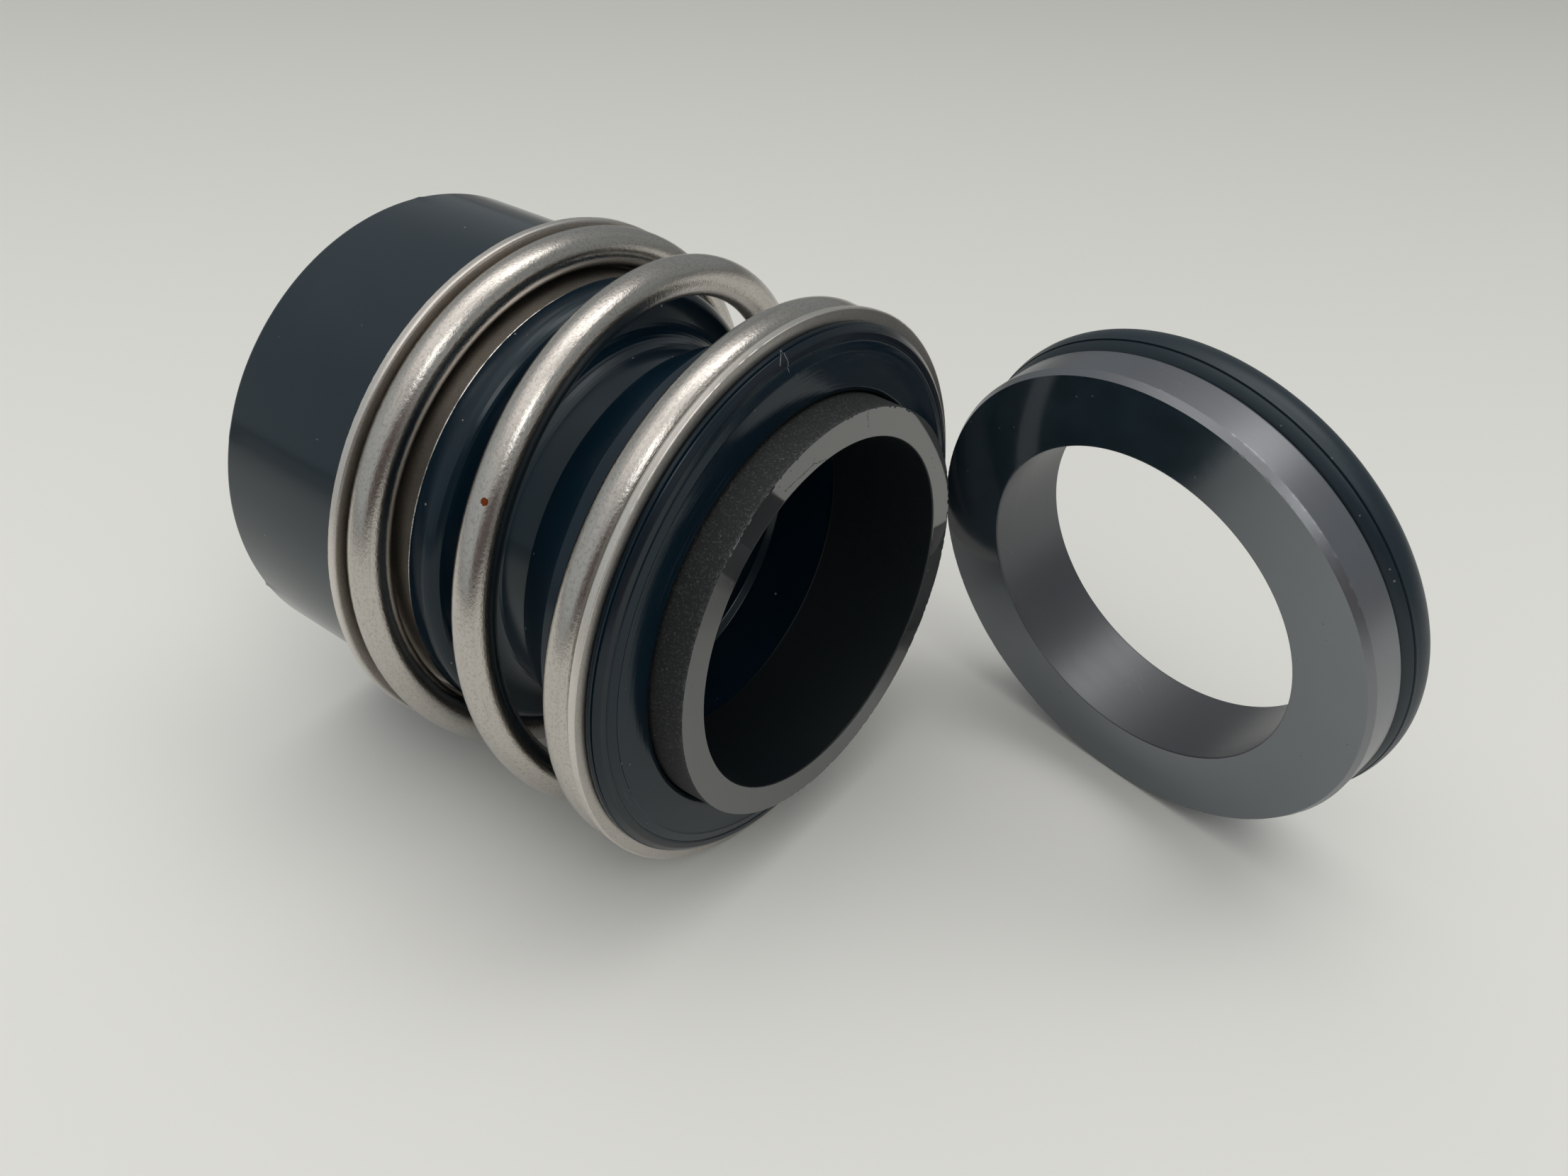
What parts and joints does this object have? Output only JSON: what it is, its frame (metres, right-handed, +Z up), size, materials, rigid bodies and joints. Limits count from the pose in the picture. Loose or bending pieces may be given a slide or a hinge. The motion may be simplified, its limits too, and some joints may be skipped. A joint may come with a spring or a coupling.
{
  "type": "mechanical seal",
  "caption": "Rubber bellows mechanical seal: sprung head with a lapped face ring lying on its side, and its stationary seat with rubber ring standing beside it.",
  "frame": {"origin": "on the head's axis, in the plane of the face ring's lapped face", "axes": "+X along the head's axis out of the lapped face, +Z up, the seat stands on the +Y side"},
  "size_m": [0.0905, 0.0572, 0.0492],
  "materials": {
    "face_carbide": "dark silicon carbide, matt ground wall, lapped face",
    "seat_carbide": "grey silicon carbide, fine ground, lapped face",
    "retainer_steel": "pressed stainless sheet, satin",
    "spring_steel": "drawn stainless wire, bright satin",
    "bellows_rubber": "moulded black rubber, satin",
    "o_ring_rubber": "black rubber, matt"
  },
  "bodies": {
    "tail_unit": {"rubber_bellows": "bellows_rubber", "tail_retainer": "retainer_steel", "coil_spring": "spring_steel", "stationary_seat": "seat_carbide", "seat_o_ring": "o_ring_rubber"},
    "face_unit": {"face_ring": "face_carbide", "front_retainer": "retainer_steel"}
  },
  "joints": [
    {"name": "face_travel", "type": "slide", "parent": "tail_unit", "child": "face_unit", "axis": [-1, 0, 0], "range_m": [0, 0.006], "stiffness_N_per_m": 7000, "deforming": ["coil_spring", "rubber_bellows"]}
  ]
}
